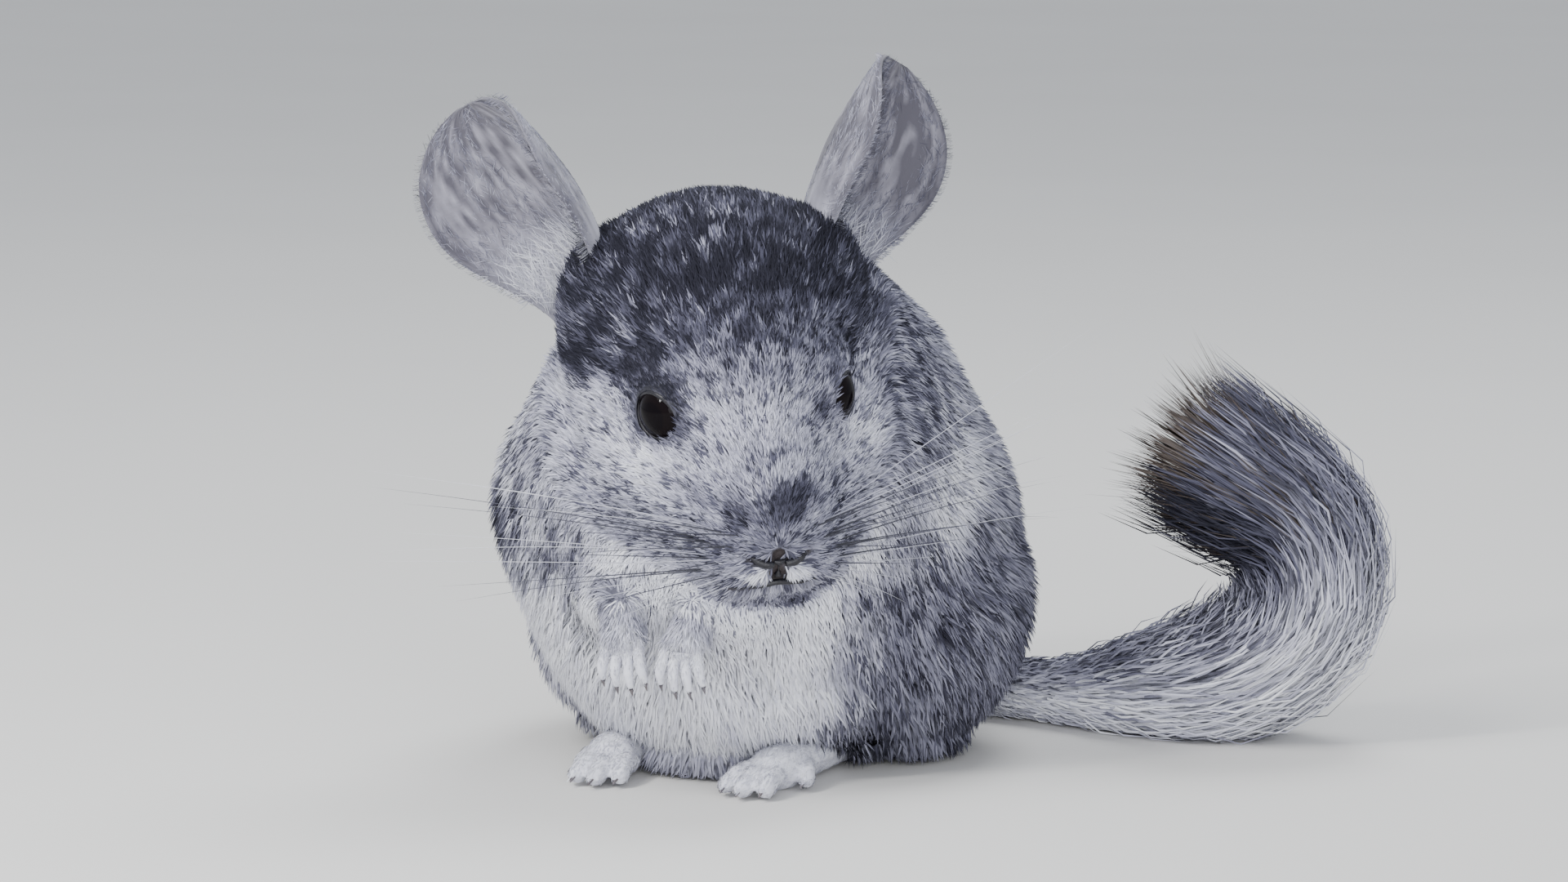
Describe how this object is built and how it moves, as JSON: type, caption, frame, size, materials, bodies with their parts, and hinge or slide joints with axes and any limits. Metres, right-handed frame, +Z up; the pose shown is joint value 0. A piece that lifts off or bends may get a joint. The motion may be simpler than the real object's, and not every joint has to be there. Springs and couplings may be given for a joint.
{
  "type": "chinchilla model",
  "caption": "Life-size still model of a grey chinchilla sitting up with its forepaws held at its chest and its bushy tail curled up beside it.",
  "frame": {"origin": "on the floor, in the middle of the flat that the animal sits on", "axes": "+Z up; the chest faces -Y; the animal's left side is at +X"},
  "size_m": [0.1858, 0.1355, 0.1543],
  "materials": {
    "grey_fur": "dense soft silver-grey fur with dark ticking",
    "white_fur": "short pale fur",
    "ear_skin": "thin bare-looking skin with very short hair",
    "eye": "glossy black, as a glass eye",
    "tail_fur": "long coarse tail hair, grey with dark tips"
  },
  "bodies": {
    "root": {"torso": "grey_fur", "neck": "grey_fur", "head": "grey_fur", "ear_left": "ear_skin", "ear_right": "ear_skin", "eye_left": "eye", "eye_right": "eye", "foreleg_left": "grey_fur", "foreleg_right": "grey_fur", "forepaw_left": "white_fur", "forepaw_right": "white_fur", "thigh_left": "grey_fur", "thigh_right": "grey_fur", "hindfoot_left": "white_fur", "hindfoot_right": "white_fur", "tail_base": "tail_fur", "tail_lower": "tail_fur", "tail_bend": "tail_fur", "tail_tip": "tail_fur"}
  },
  "joints": []
}
